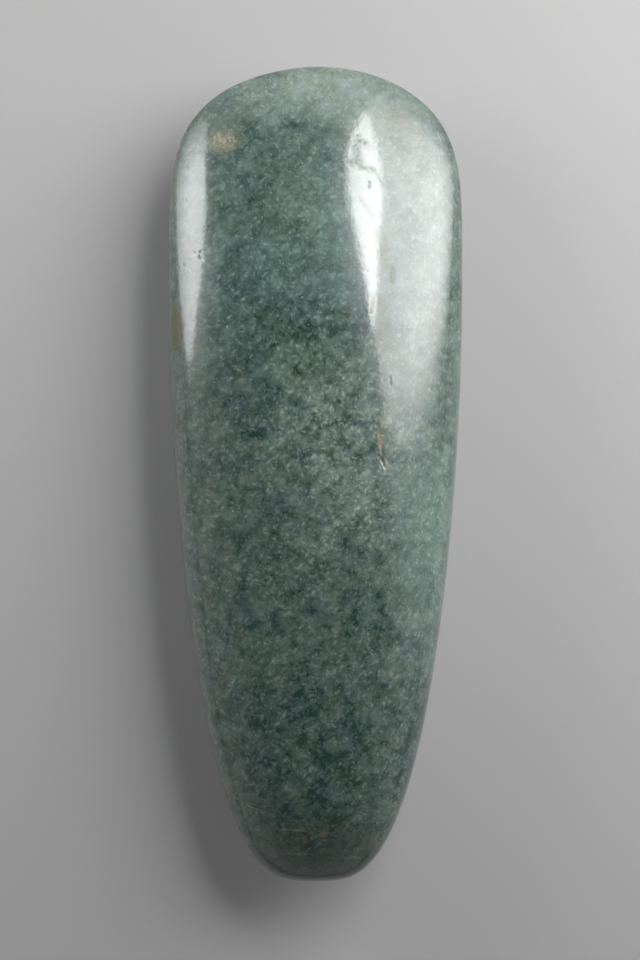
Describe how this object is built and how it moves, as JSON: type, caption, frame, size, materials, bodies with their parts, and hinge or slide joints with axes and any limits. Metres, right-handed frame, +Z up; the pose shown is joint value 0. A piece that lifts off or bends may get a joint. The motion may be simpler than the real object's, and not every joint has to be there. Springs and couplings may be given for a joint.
{
  "type": "jadeite axe head",
  "caption": "Petal-shaped polished stone axe head, lying on its broad belly, with a curved cutting edge at one end and a narrow blunt poll at the other.",
  "frame": {"origin": "on the ground under the middle of the axe head's bounding box, in line with the flat spot of its belly", "axes": "+Y along the stone from the poll to the cutting edge, +X across it, +Z up out of the face that shows"},
  "size_m": [0.0866, 0.24, 0.0426],
  "materials": {
    "jadeite": "polished"
  },
  "bodies": {
    "root": {"axe_head": "jadeite"}
  },
  "joints": []
}
